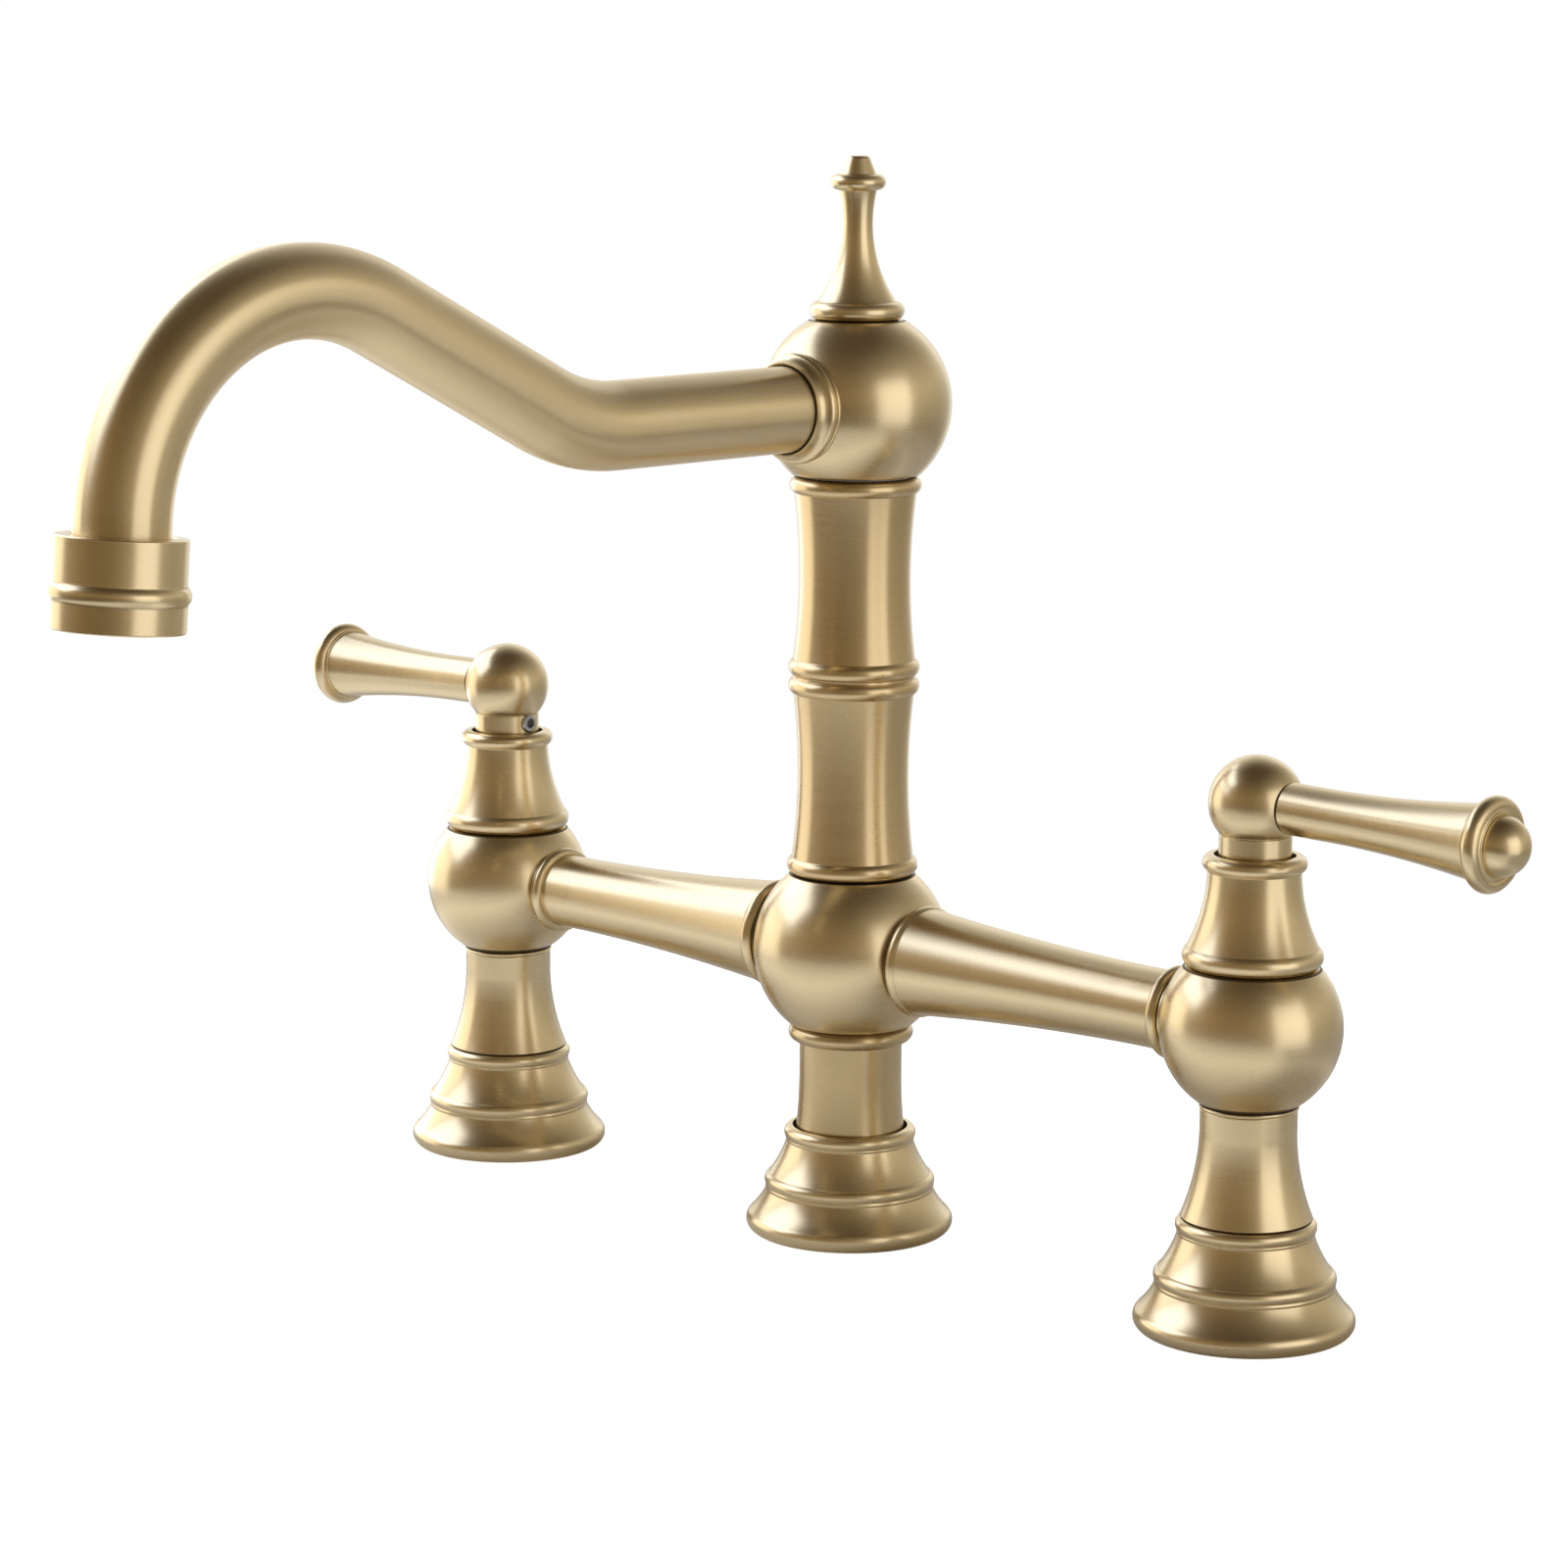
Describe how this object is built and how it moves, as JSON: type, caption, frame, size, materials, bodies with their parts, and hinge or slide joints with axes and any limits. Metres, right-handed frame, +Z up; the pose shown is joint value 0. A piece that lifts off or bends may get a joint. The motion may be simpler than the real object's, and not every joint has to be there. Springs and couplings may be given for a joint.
{
  "type": "three hole bridge faucet",
  "caption": "Deck-mounted bridge faucet: outer valve columns with lever handles, joined by a bridge that carries a tall swivelling S-bend spout with a finial.",
  "frame": {"origin": "on the deck, under the axis of the centre post and the riser, in the plane of the feet's undersides", "axes": "+Z up along the riser, +X from the left valve column to the right one as seen by the user, -Y towards the user, which is where the spout points; the levers point outwards along X when shut"},
  "size_m": [0.323, 0.2198, 0.2186],
  "materials": {
    "satin_brass": "brushed",
    "raw_brass": "turned",
    "steel": "bright",
    "rubber": "matte",
    "ceramic": "lapped",
    "nylon": "moulded"
  },
  "bodies": {
    "bridge": {"foot_left": "satin_brass", "foot_centre": "satin_brass", "foot_right": "satin_brass", "foot_seals": "rubber", "neck_left": "satin_brass", "neck_right": "satin_brass", "post_centre": "satin_brass", "valve_ball_left": "satin_brass", "valve_ball_right": "satin_brass", "centre_ball": "satin_brass", "arm_left": "satin_brass", "arm_right": "satin_brass", "riser": "satin_brass", "bell_left": "satin_brass", "bell_right": "satin_brass", "cartridge_left": "raw_brass", "cartridge_right": "raw_brass", "seat_seals": "rubber", "fixed_discs": "ceramic", "swivel_washer": "nylon"},
    "spout": {"swivel_stem": "raw_brass", "swivel_o_rings": "rubber", "snap_ring": "steel", "spout_ball": "satin_brass", "spout_collar": "satin_brass", "spout_tube": "satin_brass", "outlet_housing": "satin_brass", "aerator_shell": "steel", "aerator_screen": "nylon", "finial": "satin_brass"},
    "handle_left": {"hub_left": "satin_brass", "lever_left": "satin_brass", "lever_cap_left": "satin_brass", "grub_screw_left": "steel", "spindle_left": "raw_brass", "spindle_seal_left": "rubber", "moving_disc_left": "ceramic"},
    "handle_right": {"hub_right": "satin_brass", "lever_right": "satin_brass", "lever_cap_right": "satin_brass", "grub_screw_right": "steel", "spindle_right": "raw_brass", "spindle_seal_right": "rubber", "moving_disc_right": "ceramic"}
  },
  "joints": [
    {"name": "spout_swivel", "type": "hinge", "parent": "bridge", "child": "spout", "pos_m": [0, 0, 0.155], "axis": [0, 0, 1], "range_deg": [-90, 90]},
    {"name": "left_handle_turn", "type": "hinge", "parent": "bridge", "child": "handle_left", "pos_m": [-0.1016, 0, 0.095], "axis": [0, 0, 1], "range_deg": [0, 90]},
    {"name": "right_handle_turn", "type": "hinge", "parent": "bridge", "child": "handle_right", "pos_m": [0.1016, 0, 0.095], "axis": [0, 0, 1], "range_deg": [-90, 0]}
  ]
}
